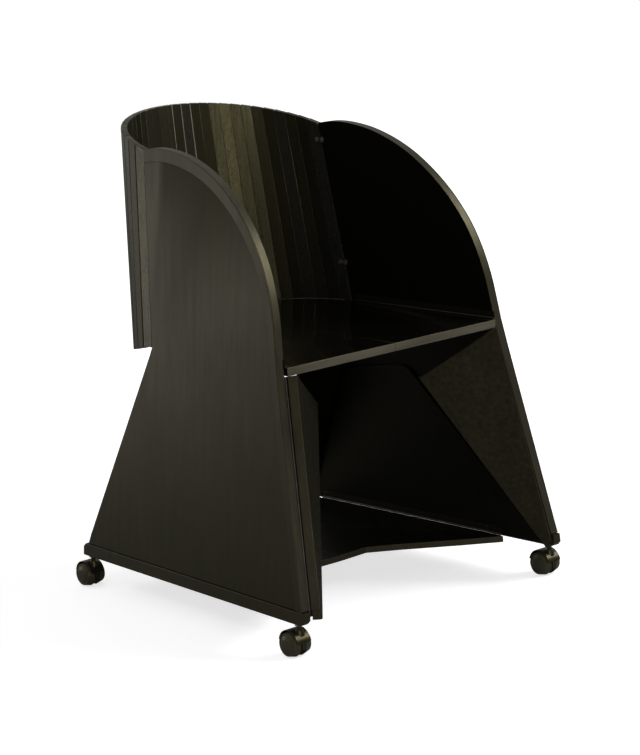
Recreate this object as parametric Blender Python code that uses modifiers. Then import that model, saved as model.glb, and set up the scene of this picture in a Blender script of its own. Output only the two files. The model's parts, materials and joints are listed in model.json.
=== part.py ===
# Folding armchair on castors: two plywood sides, a seat and a shelf that fold
# up the middle, two front flaps and a round back of narrow slats.
# Metres, Z up. The chair stands on Z zero, its open front faces minus Y,
# and its two halves mirror each other across X zero. Sizes along Y count from
# the front edge of the seat. The chair_frame empty then moves the whole chair
# so that the origin is under the middle of its length and width.
import math

import bmesh
import bpy
from mathutils import Matrix, Vector

# Side panels
SEAT_TOP = 0.450
HALF_WIDTH = 0.2324
SPLAY = 0.0436
TILT = 0.099
PLY = 0.0163
BAND_PROUD = 0.0015
TOUCH = 0.0003
MERGE = 0.00001
ARM_LINE = [
    (0.3754, 0.7700), (0.3437, 0.7739), (0.3128, 0.7739), (0.2828, 0.7706),
    (0.2528, 0.7649), (0.2228, 0.7559), (0.1937, 0.7443), (0.1637, 0.7289),
    (0.1345, 0.7092), (0.1054, 0.6850), (0.0763, 0.6543), (0.0480, 0.6140),
    (0.0283, 0.5703), (0.0154, 0.5241), (0.0094, 0.4846), (0.0051, 0.4495),
    (-0.0034, 0.4032), (-0.0340, 0.2510), (-0.0643, 0.0973), (-0.0686, 0.0770),
]
BACK_LINE = [(0.5381, 0.0770), (0.5305, 0.0947), (0.3548, 0.4289), (0.3479, 0.4435)]
BAND_TOP = 0.022
BAND_LOW = 0.0150
BAND_TAPER_SHARE = 1.15
ARM_ROUND_POINTS = 16
ARM_STEPS = 3
RAIL_BOTTOM = 0.0553
RAIL_TOP = 0.0767
RAIL_FRONT = -0.0728
RAIL_REAR = 0.5511
RAIL_CHAMFER = 0.006

# Boards and stiles inside the sides
BOARD_THICK = 0.005
BOARD_LINE = [
    (0.5134, 0.0590), (0.4019, 0.2961), (0.3899, 0.3201), (0.2477, 0.3424),
    (0.2370, 0.3428), (0.2260, 0.3390), (0.2150, 0.3315), (0.2030, 0.3190),
    (-0.0494, 0.0590),
]
STILE_TOP = 0.3190
STILE_BOTTOM = 0.0790
STILE_WIDE = 0.0500
STILE_THICK = 0.009
STILE_INSET = 0.003

# Seat
SEAT_THICK = 0.0138
SEAT_SIDE_GAP = 0.0030
SEAT_REAR_GAP = 0.0042
SEAM = 0.0003
SEAT_STEPS = 24

# Shelf
SHELF_TOP = 0.0600
SHELF_THICK = 0.0110
SHELF_REAR = 0.4328
SHELF_FRONT = [(0.0, 0.1714), (0.0643, 0.1740), (0.1131, 0.1405), (0.1954, 0.0771), (0.2480, 0.0330)]
SHELF_SIDE_GAP = 0.0045
SHELF_OPEN_GAP = 0.0030

# Piano hinges
KNUCKLE_R = 0.0024
LEAF_THICK = 0.0010
LEAF_WIDE = 0.0120
KNUCKLE_LONG = 0.0166
KNUCKLE_PLAY = 0.0003
KNUCKLE_SIDES = 7
NECK_BITE = 0.0012
NECK_THIN = 0.0002

# Front flaps
FLAP_TOP = (0.0030, 0.4300)
FLAP_LOW = (-0.0690, 0.0610)
FLAP_TIP = (0.1174, 0.0750, 0.3612)
FLAP_THICK = 0.0110
FLAP_END = 0.0090
FLAP_NOTCH = 0.0150

# Back of slats
BACK_DEPTH = 0.1815
BACK_START_LOW = 0.3512
BACK_START_TOP = 0.3784
BACK_DROP = 0.0060
BACK_HIGH = 0.3190
BACK_LOW_Z = SEAT_TOP - BACK_DROP
BACK_TOP_Z = SEAT_TOP + BACK_HIGH
# The first slats stand flush with the inner faces of the sides.
BACK_HALF_LOW = HALF_WIDTH - SPLAY * BACK_START_LOW - TILT * (BACK_LOW_Z - SEAT_TOP)
BACK_HALF_TOP = HALF_WIDTH - SPLAY * BACK_START_TOP - TILT * (BACK_TOP_Z - SEAT_TOP)
LOW_SLOPE = -0.229
TOP_SLOPE = 0.246
SLAT_THICK = 0.0110
SLAT_BEVEL = 0.0010
SLAT_GAP = 0.0003
# Widths of one side's slats in turn, as shares of a common slat. The last is half of the middle slat.
SLAT_SHARES = [1.33, 1.15, 1.09, 1.09, 1.03, 1.0, 0.98, 1.0, 0.98, 0.95, 0.93, 0.93, 0.96, 1.0, 0.36]
GROUPS = [(1, 1), (2, 3), (4, 5), (6, 7), (8, 9), (10, 11), (12, 13), (14, 15)]
CURVE_STEPS = 720
WEB_HALF = 0.0020
WEB_FROM = 0.0040
WEB_TO = 0.0070
WEB_TRIM = 0.0040
SCREW_R = 0.0040
SCREW_PROUD = 0.0022
SCREW_SIDES = 12
SCREW_WALL_SHARE = 0.6
SCREW_FLAT_SHARE = 0.55
SCREW_RISES = (("top", 0.290), ("low", 0.070))
SCREW_OFF_SEAM = 0.0065
PLATE_OFF = 0.0008
PLATE_THICK = 0.0008
PLATE_WIDE = 0.0108
PLATE_HIGH = 0.0060

# Castors
WHEEL_R = 0.0215
WHEEL_WIDE = 0.0125
WHEEL_OFF = 0.0115
WHEEL_SIDES = 24
WHEEL_LIP_SHARE = 0.12
CAP_R = 0.0125
CAP_OUT = 0.0030
CAP_FLAT_SHARE = 0.8
CAP_WALL_SHARE = 0.4
AXLE_R = 0.0030
AXLE_PLAY = 0.0001
BOSS_WIDE_SHARE = 2.4
BOSS_FOOT_SHARE = 1.2
WEB_WIDE = 0.0090
HOOD_THICK = 0.0014
HOOD_PLAY = 0.0010
HOOD_FROM = 12.0
HOOD_TO = 168.0
STEM_R = 0.0040
STEM_SIDES = 16
STEM_FOOT_SHARE = 1.55
TRAIL = 0.0120
CASTOR_FRONT_Y = -0.0530
CASTOR_REAR_Y = 0.5330

for old in list(bpy.data.objects):
    bpy.data.objects.remove(old, do_unlink=True)
parts = bpy.data.collections.new("folding_armchair")
bpy.context.scene.collection.children.link(parts)
helpers = bpy.data.collections.new("helpers")
bpy.context.scene.collection.children.link(helpers)
helpers.hide_render = True
chair = bpy.data.objects.new("chair_frame", None)
parts.objects.link(chair)

MATERIALS = {}


def material(name, colour, roughness, metallic):
    """One Principled BSDF, made once and shared by name."""
    if name not in MATERIALS:
        made = bpy.data.materials.new(name)
        made.use_nodes = True
        shader = made.node_tree.nodes["Principled BSDF"]
        shader.inputs["Base Color"].default_value = colour
        shader.inputs["Roughness"].default_value = roughness
        shader.inputs["Metallic"].default_value = metallic
        MATERIALS[name] = made
    return MATERIALS[name]


EBONY = ("ebonised_wood", (0.030, 0.027, 0.019, 1.0), 0.42, 0.0)
EDGE = ("ebonised_edge", (0.060, 0.055, 0.040, 1.0), 0.50, 0.0)
STEEL = ("dark_steel", (0.22, 0.21, 0.18, 1.0), 0.35, 1.0)
PLASTIC = ("castor_plastic", (0.045, 0.042, 0.032, 1.0), 0.38, 0.0)


def add_object(name, mesh, look, home):
    """Puts a mesh into the scene as one named piece."""
    obj = bpy.data.objects.new(name, mesh)
    home.objects.link(obj)
    obj.parent = chair
    if look:
        obj.data.materials.append(material(*look))
    if home == helpers:
        obj.hide_render = True
        obj.display_type = "WIRE"
    return obj


def closed_mesh(name, shells):
    """Each shell is a list of loops of equal length. Walls join them in turn, and the first and last are capped."""
    bm = bmesh.new()
    for loops in shells:
        rows = [[bm.verts.new(Vector(p)) for p in loop] for loop in loops]
        bm.faces.new(rows[0])
        bm.faces.new(list(reversed(rows[-1])))
        for low, high in zip(rows[:-1], rows[1:]):
            for i in range(len(low)):
                j = (i + 1) % len(low)
                bm.faces.new((low[i], high[i], high[j], low[j]))
    bmesh.ops.recalc_face_normals(bm, faces=bm.faces)
    mesh = bpy.data.meshes.new(name)
    bm.to_mesh(mesh)
    bm.free()
    return mesh


def piece(name, shells, look, home=parts):
    return add_object(name, closed_mesh(name, shells), look, home)


def boolean(obj, other, operation):
    """Joins or cuts with a helper, in the exact solver."""
    mod = obj.modifiers.new(operation.lower() + "_" + other.name, "BOOLEAN")
    mod.operation = operation
    mod.solver = "EXACT"
    mod.object = other
    return obj


def turned(name, centre, direction, profile, sides, look, home=parts):
    """A turned piece: a profile of (distance along the axis, radius) points, spun by a Screw modifier."""
    mesh = bpy.data.meshes.new(name)
    points = [(radius, 0, along) for along, radius in profile]
    mesh.from_pydata(points, [(k, k + 1) for k in range(len(points) - 1)], [])
    obj = add_object(name, mesh, look, home)
    obj.location = centre
    obj.rotation_euler = Vector(direction).to_track_quat("Z", "Y").to_euler()
    spin = obj.modifiers.new("spin", "SCREW")
    spin.axis = "Z"
    spin.steps = sides
    spin.render_steps = sides
    spin.use_merge_vertices = True
    spin.merge_threshold = MERGE
    spin.use_normal_calculate = True
    return obj


def round_bar(name, start, end, radius, sides):
    """A straight round helper between two points."""
    along = Vector(end) - Vector(start)
    bpy.ops.mesh.primitive_cylinder_add(
        vertices=sides, radius=radius, depth=along.length, location=(Vector(start) + Vector(end)) / 2,
        rotation=along.to_track_quat("Z", "Y").to_euler())
    obj = bpy.context.object
    obj.name = name
    for home in obj.users_collection:
        home.objects.unlink(obj)
    helpers.objects.link(obj)
    obj.parent = chair
    obj.hide_render = True
    obj.display_type = "WIRE"
    return obj


def smooth_line(points, parts_each):
    """A Catmull-Rom curve through the points."""
    out = []
    for i in range(len(points) - 1):
        a = Vector(points[max(i - 1, 0)])
        b = Vector(points[i])
        c = Vector(points[i + 1])
        d = Vector(points[min(i + 2, len(points) - 1)])
        for k in range(parts_each):
            t = k / parts_each
            out.append(tuple(0.5 * (2 * b + (c - a) * t + (2 * a - 5 * b + 4 * c - d) * t * t
                                    + (3 * b - a - 3 * c + d) * t ** 3)))
    out.append(tuple(points[-1]))
    return out


def half_at(y, z):
    """Half of the clear width between the sides."""
    return HALF_WIDTH - SPLAY * y - TILT * (z - SEAT_TOP)


def on_side(side, y, z, depth):
    """A point on a side, depth measured outward from its inner face."""
    return Vector((side * (half_at(y, z) + depth), y, z))


def side_slab(side, line, inner, outer):
    return [[on_side(side, y, z, inner) for y, z in line], [on_side(side, y, z, outer) for y, z in line]]


def side_normal(side):
    """Unit vector that points out of the inner face, towards the middle."""
    return Vector((-side, -SPLAY, -TILT)).normalized()


def inset_line(line, share_to_width):
    """Moves an open outline inward by a width that varies along it."""
    out = []
    for i, point in enumerate(line):
        a = Vector(line[max(i - 1, 0)])
        b = Vector(line[min(i + 1, len(line) - 1)])
        along = (b - a).normalized()
        inward = Vector((-along.y, along.x))
        out.append(tuple(Vector(point) + inward * share_to_width(i / (len(line) - 1))))
    return out


def hinge_leaf(name, start, end, along_leaf, face_normal, odd, play=None):
    """A piano hinge leaf: a plate that lies on a face, with every other knuckle round the pin line.

    Where play is given the leaf has no knuckles, and its plate keeps that much more from the pin.
    """
    start = Vector(start)
    end = Vector(end)
    axis = (end - start).normalized()
    up = Vector(face_normal)
    up = (up - axis * up.dot(axis)).normalized()
    out = Vector(along_leaf)
    out = (out - axis * out.dot(axis) - up * out.dot(up)).normalized()
    length = (end - start).length
    low = -KNUCKLE_R
    clear = KNUCKLE_R + 2 * KNUCKLE_PLAY + (play or 0)

    def ring(at, corners):
        return [start + axis * at + out * a + up * b for a, b in corners]

    plate = [(clear, low), (LEAF_WIDE, low), (LEAF_WIDE, low + LEAF_THICK), (clear, low + LEAF_THICK)]
    leaf = piece(name, [[ring(0, plate), ring(length, plate)]], STEEL)
    if play:
        return leaf
    count = max(2, int(length / KNUCKLE_LONG))
    step = length / count
    knuckles = []
    # The round runs from the top of the plate, over the pin, down to its underside.
    first = math.asin((low + LEAF_THICK) / KNUCKLE_R)
    sweep = 2 * math.pi - (math.pi / 2 + first)
    arc = []
    for k in range(KNUCKLE_SIDES + 1):
        angle = first + sweep * k / KNUCKLE_SIDES
        arc.append((KNUCKLE_R * math.cos(angle), KNUCKLE_R * math.sin(angle)))
    bite = clear + NECK_BITE
    shape = arc + [(bite, low + NECK_THIN), (bite, low + LEAF_THICK - NECK_THIN)]
    for k in range(count):
        if (k % 2 == 0) == odd:
            knuckles.append([ring(k * step + KNUCKLE_PLAY / 2, shape), ring((k + 1) * step - KNUCKLE_PLAY / 2, shape)])
    round_part = piece(name + "_knuckles", knuckles, None, helpers)
    return boolean(leaf, round_part, "UNION")


def leaf_rebate(board, side, front, rear, top, wall):
    """Lets a hinge leaf into the top of a board, so that the leaf lies flush with it."""
    plan = []
    for y in (front - 3 * TOUCH, rear + TOUCH):
        foot = half_at(y, top) - wall
        edge = half_at(y, top)
        plan += [(foot, y), (edge, y)] if not plan else [(edge, y), (foot, y)]
    levels = [[Vector((side * x, y, z)) for x, y in plan] for z in (top - LEAF_THICK - TOUCH, top + LEAF_THICK)]
    return boolean(board, piece(board.name + "_rebate", [levels], None, helpers), "DIFFERENCE")


def joint_empty(name, at):
    """Marks a joint axis."""
    mark = bpy.data.objects.new(name, None)
    mark.location = at
    mark.empty_display_size = KNUCKLE_LONG
    parts.objects.link(mark)
    mark.parent = chair
    return mark


arm = smooth_line(ARM_LINE[:ARM_ROUND_POINTS], ARM_STEPS) + ARM_LINE[ARM_ROUND_POINTS:]
panel_line = arm + BACK_LINE
band_in = inset_line(arm, lambda t: BAND_TOP + (BAND_LOW - BAND_TOP) * min(1.0, t * BAND_TAPER_SHARE))
band_in = [(y, max(z, ARM_LINE[-1][1])) for y, z in band_in]
band_line = arm + list(reversed(band_in))
rail_line = [
    (RAIL_FRONT, RAIL_BOTTOM + RAIL_CHAMFER), (RAIL_FRONT + RAIL_CHAMFER, RAIL_BOTTOM), (RAIL_REAR, RAIL_BOTTOM),
    (RAIL_REAR, RAIL_TOP - RAIL_CHAMFER), (RAIL_REAR - RAIL_CHAMFER, RAIL_TOP - TOUCH), (RAIL_FRONT, RAIL_TOP - TOUCH),
]

for side, word in ((-1, "left"), (1, "right")):
    # Plywood side panel with its edge band, the rail that the castors screw into, and the inner board.
    piece("side_panel_" + word, [side_slab(side, panel_line, 0, PLY - BAND_PROUD - TOUCH)], EBONY)
    piece("edge_band_" + word, [side_slab(side, band_line, PLY - BAND_PROUD, PLY)], EDGE)
    piece("rail_" + word, [side_slab(side, rail_line, 0, PLY)], EDGE)
    piece("inner_board_" + word, [side_slab(side, BOARD_LINE, -BOARD_THICK, -TOUCH)], EBONY)
    # Stile that stands square to the side along its slanting rear edge.
    stile = []
    for z in (STILE_BOTTOM, STILE_TOP):
        share = (z - BACK_LINE[1][1]) / (BACK_LINE[2][1] - BACK_LINE[1][1])
        y = BACK_LINE[1][0] + (BACK_LINE[2][0] - BACK_LINE[1][0]) * share - STILE_INSET
        x = half_at(y, z) - TOUCH
        stile.append([Vector((side * a, b, z)) for a, b in (
            (x, y), (x - STILE_WIDE, y), (x - STILE_WIDE, y - STILE_THICK), (x, y - STILE_THICK))])
    piece("rear_stile_" + word, [stile], EBONY)

    # Half of the seat, its rear edge following the round back.
    rear = []
    for k in range(SEAT_STEPS + 1):
        turn = math.pi / 2 * k / SEAT_STEPS
        x = (BACK_HALF_LOW - SEAT_REAR_GAP) * math.sin(turn)
        rear.append((max(x, SEAM / 2), BACK_START_LOW + (BACK_DEPTH - SEAT_REAR_GAP) * math.cos(turn)))
    front_x = half_at(0, SEAT_TOP) - SEAT_SIDE_GAP
    outline = [(SEAM / 2, 0.0), (front_x, 0.0)] + list(reversed(rear))
    seat = piece("seat_" + word, [[[Vector((side * x, y, SEAT_TOP - SEAT_THICK)) for x, y in outline],
                                   [Vector((side * x, y, SEAT_TOP)) for x, y in outline]]], EBONY)

    # Half of the shelf.
    open_gap = SHELF_SIDE_GAP + (SHELF_OPEN_GAP if side > 0 else 0.0)
    edge = []
    for y in (SHELF_FRONT[-1][1], SHELF_REAR):
        edge.append((half_at(y, SHELF_TOP) - BOARD_THICK - open_gap, y))
    shelf_line = [(max(x, SEAM / 2), y) for x, y in SHELF_FRONT[:-1]] + edge + [(SEAM / 2, SHELF_REAR)]
    shelf = piece("shelf_" + word, [[[Vector((side * x, y, SHELF_TOP - SHELF_THICK)) for x, y in shelf_line],
                                     [Vector((side * x, y, SHELF_TOP)) for x, y in shelf_line]]], EBONY)

    # Piano hinge in the corner between seat and side. Its seat leaf is let into the seat.
    lift = KNUCKLE_R + TOUCH
    pin_rise = KNUCKLE_R - LEAF_THICK
    inward = side_normal(side)

    def pin_point(y, z, off):
        return on_side(side, y, z, -off / abs(inward.x))

    a = pin_point(SEAT_SIDE_GAP, SEAT_TOP + pin_rise, lift)
    b = pin_point(BACK_START_LOW - LEAF_WIDE, SEAT_TOP + pin_rise, lift)
    leaf_rebate(seat, side, a.y, b.y, SEAT_TOP, lift + LEAF_WIDE + 2 * TOUCH)
    hinge_leaf("seat_hinge_side_leaf_" + word, a, b, (0, 0, 1), inward, True)
    hinge_leaf("seat_hinge_seat_leaf_" + word, a, b, (-side, 0, 0), (0, 0, 1), False)
    joint_empty("seat_axis_" + word, (a + b) / 2)

    # Piano hinge along the foot of the inner board, which carries the shelf.
    a = pin_point(SHELF_FRONT[-2][1] + LEAF_WIDE, SHELF_TOP + pin_rise, lift + BOARD_THICK)
    b = pin_point(SHELF_REAR - KNUCKLE_R, SHELF_TOP + pin_rise, lift + BOARD_THICK)
    leaf_rebate(shelf, side, a.y, b.y, SHELF_TOP, lift + BOARD_THICK + LEAF_WIDE + 2 * TOUCH)
    shelf_play = SHELF_OPEN_GAP if side > 0 else None
    hinge_leaf("shelf_hinge_shelf_leaf_" + word, a, b, (-side, 0, 0), (0, 0, 1), False, shelf_play)
    hinge_leaf("shelf_hinge_side_leaf_" + word, a, b, (0, 0, 1), inward, True)
    joint_empty("shelf_axis_" + word, (a + b) / 2)

    # Front flap: a three cornered board hinged along the front edge of the side.
    top = on_side(side, *FLAP_TOP, 0) + inward * lift
    low = on_side(side, *FLAP_LOW, 0) + inward * lift
    tip = Vector((side * FLAP_TIP[0], FLAP_TIP[1], FLAP_TIP[2]))
    axis = (low - top).normalized()
    across = tip - top
    tip_at = across.dot(axis)
    across = across - axis * tip_at
    tip_out = across.length
    across.normalize()
    # The flap's back face turns towards the side when it shuts.
    back = axis.cross(across) * side
    if back.dot(inward) > 0:
        back = -back
    length = (low - top).length
    face = -back
    near = KNUCKLE_R + 2 * KNUCKLE_PLAY
    flap_line = [
        (near, near), (tip_at, tip_out), (length, FLAP_END + near), (length, near + NECK_BITE),
        (length - FLAP_NOTCH, near + NECK_BITE), (length - FLAP_NOTCH, near - KNUCKLE_R),
        (near, near - KNUCKLE_R),
    ]
    base = top + face * (KNUCKLE_R + TOUCH)
    flap_shell = [[base + axis * s + across * w + face * t for s, w in flap_line] for t in (0, FLAP_THICK)]
    piece("front_flap_" + word, [flap_shell], EBONY)
    a = top + axis * near
    b = top + axis * (length - FLAP_NOTCH)
    hinge_leaf("flap_hinge_flap_leaf_" + word, a, b, across, back, False)
    hinge_leaf("flap_hinge_side_leaf_" + word, a, b, (0, 1, 0), inward, True)
    joint_empty("flap_axis_" + word, (a + b) / 2)

# Centre hinges under the seat and under the shelf.
for side, word in ((-1, "left"), (1, "right")):
    drop = SEAT_TOP - SEAT_THICK - KNUCKLE_R - TOUCH
    a = Vector((0, SEAT_SIDE_GAP, drop))
    b = Vector((0, BACK_START_LOW + BACK_DEPTH - LEAF_WIDE, drop))
    hinge_leaf("seat_centre_leaf_" + word, a, b, (side, 0, 0), (0, 0, -1), side > 0)
    if side > 0:
        joint_empty("seat_axis_centre", (a + b) / 2)
    drop = SHELF_TOP - SHELF_THICK - KNUCKLE_R - TOUCH
    a = Vector((0, SHELF_FRONT[0][1] + KNUCKLE_R, drop))
    b = Vector((0, SHELF_REAR - KNUCKLE_R, drop))
    hinge_leaf("shelf_centre_leaf_" + word, a, b, (side, 0, 0), (0, 0, -1), side > 0)
    if side > 0:
        joint_empty("shelf_axis_centre", (a + b) / 2)


def curve_point(half, start, turn):
    return Vector((half * math.cos(turn), start + BACK_DEPTH * math.sin(turn)))


def spaced_turns(shares):
    """Turn angles that cut a quarter of the round into the given shares of its length."""
    half = (BACK_HALF_LOW + BACK_HALF_TOP) / 2
    start = (BACK_START_LOW + BACK_START_TOP) / 2
    turns = [math.pi / 2 * k / CURVE_STEPS for k in range(CURVE_STEPS + 1)]
    run = [0.0]
    for a, b in zip(turns[:-1], turns[1:]):
        run.append(run[-1] + (curve_point(half, start, b) - curve_point(half, start, a)).length)
    whole = sum(shares)
    out = []
    target = 0.0
    k = 0
    for share in [0.0] + shares:
        target += share * run[-1] / whole
        while k < CURVE_STEPS and run[k] < target:
            k += 1
        out.append(turns[k])
    return out


SLAT_TURNS = spaced_turns(SLAT_SHARES)


def slat_shell(side, first, last):
    """One straight slat between two turns of the round."""
    loops = []
    for half, start, level, slope in (
        (BACK_HALF_LOW, BACK_START_LOW, BACK_LOW_Z, LOW_SLOPE),
        (BACK_HALF_TOP, BACK_START_TOP, BACK_TOP_Z, TOP_SLOPE),
    ):
        a = curve_point(half, start, first)
        b = curve_point(half, start, last)
        along = (b - a).normalized()
        out = Vector((along.y, -along.x))
        a_z = level + slope * (a.y - start)
        b_z = level + slope * (b.y - start)
        a = a + along * SLAT_GAP / 2
        b = b - along * SLAT_GAP / 2
        ring = []
        far_a = a + out * SLAT_THICK + along * SLAT_BEVEL
        far_b = b + out * SLAT_THICK - along * SLAT_BEVEL
        for p, z in ((a, a_z), (b, b_z), (far_b, b_z), (far_a, a_z)):
            ring.append(Vector((side * p.x, p.y, z)))
        loops.append(ring)
    return loops


def web_shell(side, turn, before, after):
    """A thin strip that bridges the slit between two slats of one group, part way through their thickness."""
    loops = []
    for half, start, level, slope in (
        (BACK_HALF_LOW, BACK_START_LOW, BACK_LOW_Z, LOW_SLOPE),
        (BACK_HALF_TOP, BACK_START_TOP, BACK_TOP_Z, TOP_SLOPE),
    ):
        at = curve_point(half, start, turn)
        along = (curve_point(half, start, after) - curve_point(half, start, before)).normalized()
        out = Vector((along.y, -along.x))
        trim = WEB_TRIM if half == BACK_HALF_LOW else -WEB_TRIM
        ring = []
        for run, deep in ((-WEB_HALF, WEB_FROM), (WEB_HALF, WEB_FROM), (WEB_HALF, WEB_TO), (-WEB_HALF, WEB_TO)):
            p = at + along * run + out * deep
            ring.append(Vector((side * p.x, p.y, level + slope * (at.y - start) + trim)))
        loops.append(ring)
    return loops


for side, word in ((-1, "left"), (1, "right")):
    for number, (first, last) in enumerate(GROUPS, 1):
        shells = [slat_shell(side, SLAT_TURNS[k - 1], SLAT_TURNS[k]) for k in range(first, last + 1)]
        name = "slats_%s_%d" % (word, number)
        slats = piece(name, [shells[0]], EBONY)
        if number > 1:
            joint_empty(name + "_axis", (shells[0][0][0] + shells[0][1][0]) / 2)
        for k in range(first + 1, last + 1):
            web = [web_shell(side, SLAT_TURNS[k - 1], SLAT_TURNS[k - 2], SLAT_TURNS[k])]
            boolean(slats, piece("%s_web_%d" % (name, k), web, None, helpers), "UNION")
            boolean(slats, piece("%s_more_%d" % (name, k), [shells[k - first]], None, helpers), "UNION")
    # A small plate with two round screw heads holds the first slats to the side.
    inward = side_normal(side)
    for place, above_seat in SCREW_RISES:
        z = SEAT_TOP + above_seat
        share = (z - BACK_LOW_Z) / (BACK_TOP_Z - BACK_LOW_Z)
        y = BACK_START_LOW + (BACK_START_TOP - BACK_START_LOW) * share
        at = on_side(side, y, z, 0)
        flat = (Vector((0, 1, 0)) - inward * inward.y).normalized()
        rise = flat.cross(inward) * side
        rise = rise if rise.z > 0 else -rise
        lay = at + inward * PLATE_OFF
        box = []
        for deep in (0, PLATE_THICK):
            box.append([lay + inward * deep + flat * u + rise * v for u, v in (
                (-PLATE_WIDE, -PLATE_HIGH), (PLATE_WIDE, -PLATE_HIGH), (PLATE_WIDE, PLATE_HIGH), (-PLATE_WIDE, PLATE_HIGH))])
        plate = piece("back_plate_%s_%s" % (place, word), [box], STEEL)
        head = [(PLATE_THICK / 2, 0), (PLATE_THICK / 2, SCREW_R), (SCREW_PROUD * SCREW_WALL_SHARE, SCREW_R),
                (SCREW_PROUD, SCREW_R * SCREW_FLAT_SHARE), (SCREW_PROUD, 0)]
        for end, off in (("side", -SCREW_OFF_SEAM), ("slat", SCREW_OFF_SEAM)):
            screw = turned("back_screw_%s_%s_%s" % (place, word, end), lay + flat * off, inward, head,
                           SCREW_SIDES, None, helpers)
            boolean(plate, screw, "UNION")


for side, word in ((-1, "left"), (1, "right")):
    for place, stem_y in (("front", CASTOR_FRONT_Y), ("rear", CASTOR_REAR_Y)):
        x = side * (half_at(stem_y, RAIL_BOTTOM) + PLY / 2)
        centre = Vector((x, stem_y + TRAIL, WHEEL_R))
        name = "castor_%s_%s" % (place, word)
        # Hood over both wheels, with the web between them and the stem as one moulding.
        hood_in = WHEEL_R + HOOD_PLAY
        arc = []
        for k in range(WHEEL_SIDES // 2 + 1):
            v = math.radians(HOOD_FROM + (HOOD_TO - HOOD_FROM) * k / (WHEEL_SIDES // 2))
            arc.append((math.cos(v), math.sin(v)))
        band = [(c * (hood_in + HOOD_THICK), s * (hood_in + HOOD_THICK)) for c, s in arc]
        band += [(c * hood_in, s * hood_in) for c, s in reversed(arc)]
        wide = WHEEL_OFF + WHEEL_WIDE / 2 - HOOD_PLAY
        hood = [[centre + Vector((e, a, b)) for a, b in band] for e in (-wide, wide)]
        casting = piece(name + "_body", [hood], PLASTIC)
        reach = hood_in + HOOD_THICK / 2
        web_line = [(c * reach, s * reach) for c, s in arc]
        boss = AXLE_R * BOSS_WIDE_SHARE
        foot = AXLE_R * BOSS_FOOT_SHARE
        web_line += [(-boss, -AXLE_R), (-foot, -boss), (foot, -boss), (boss, -AXLE_R)]
        web = [[centre + Vector((e, a, b)) for a, b in web_line] for e in (-WEB_WIDE / 2, WEB_WIDE / 2)]
        boolean(casting, piece(name + "_web", [web], None, helpers), "UNION")
        stem_top = RAIL_BOTTOM - TOUCH
        stem_foot = WHEEL_R * STEM_FOOT_SHARE
        stem = round_bar(name + "_stem", (x, stem_y, stem_foot), (x, stem_y, stem_top), STEM_R, STEM_SIDES)
        boolean(casting, stem, "UNION")
        across = Vector((WEB_WIDE, 0, 0))
        hole = round_bar(name + "_hole", centre - across, centre + across, AXLE_R + AXLE_PLAY, WHEEL_SIDES)
        boolean(casting, hole, "DIFFERENCE")
        # Twin wheels on one axle.
        a = WHEEL_OFF - WHEEL_WIDE / 2
        b = WHEEL_OFF + WHEEL_WIDE / 2
        lip = WHEEL_WIDE * WHEEL_LIP_SHARE
        cap_flat = CAP_R * CAP_FLAT_SHARE
        cap_wall = b + CAP_OUT * CAP_WALL_SHARE
        half = [
            (a, AXLE_R), (a, WHEEL_R - lip), (a + lip, WHEEL_R), (b - lip, WHEEL_R), (b, WHEEL_R - lip),
            (b, CAP_R), (cap_wall, CAP_R), (b + CAP_OUT, cap_flat), (b + CAP_OUT, 0),
        ]
        profile = [(-along, radius) for along, radius in reversed(half)] + half
        turned(name + "_wheels", centre, (1, 0, 0), profile, WHEEL_SIDES, PLASTIC)
        joint_empty(name + "_swivel", (x, stem_y, stem_top))
        joint_empty(name + "_axle", centre)


def hang(child, mark):
    """Leaves the child where it is and makes it turn with the mark."""
    child.parent = mark
    child.matrix_parent_inverse = Matrix.Translation(-mark.location)


def body(mark_name, carrier, names):
    """Everything that turns with one joint mark, and the mark that this one turns with."""
    mark = bpy.data.objects[mark_name]
    if carrier != "chair_frame":
        hang(mark, bpy.data.objects[carrier])
    for name in names:
        hang(bpy.data.objects[name], mark)


# The left side carries the chair. The seat halves hang on it in turn, and the right side on them.
SIDE_PIECES = [
    "side_panel", "edge_band", "rail", "inner_board", "rear_stile", "seat_hinge_side_leaf",
    "shelf_hinge_side_leaf", "flap_hinge_side_leaf", "back_plate_top", "back_plate_low",
]
body("seat_axis_left", "chair_frame", ["seat_left", "seat_hinge_seat_leaf_left", "seat_centre_leaf_left"])
body("seat_axis_centre", "seat_axis_left", ["seat_right", "seat_hinge_seat_leaf_right", "seat_centre_leaf_right"])
body("seat_axis_right", "seat_axis_centre", [name + "_right" for name in SIDE_PIECES] + ["slats_right_1"])
body("shelf_axis_left", "chair_frame", ["shelf_left", "shelf_hinge_shelf_leaf_left", "shelf_centre_leaf_left"])
body("shelf_axis_centre", "shelf_axis_left", ["shelf_right", "shelf_hinge_shelf_leaf_right", "shelf_centre_leaf_right"])
for word, carrier in (("left", "chair_frame"), ("right", "seat_axis_right")):
    body("flap_axis_" + word, carrier, ["front_flap_" + word, "flap_hinge_flap_leaf_" + word])
    before = carrier
    for number in range(2, len(GROUPS) + 1):
        slats = "slats_%s_%d" % (word, number)
        body(slats + "_axis", before, [slats])
        before = slats + "_axis"
    for place in ("front", "rear"):
        castor = "castor_%s_%s" % (place, word)
        body(castor + "_swivel", carrier, [castor + "_body"])
        body(castor + "_axle", castor + "_swivel", [castor + "_wheels"])

# The origin goes under the middle of the chair's length.
bpy.context.view_layer.update()
graph = bpy.context.evaluated_depsgraph_get()
solids = [obj.evaluated_get(graph) for obj in parts.objects if obj.type == "MESH"]
depths = [(obj.matrix_world @ Vector(corner)).y for obj in solids for corner in obj.bound_box]
chair.location = (0, -(min(depths) + max(depths)) / 2, 0)
bpy.context.view_layer.update()
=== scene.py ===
import json
import math

import bpy
from mathutils import Matrix, Vector

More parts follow.
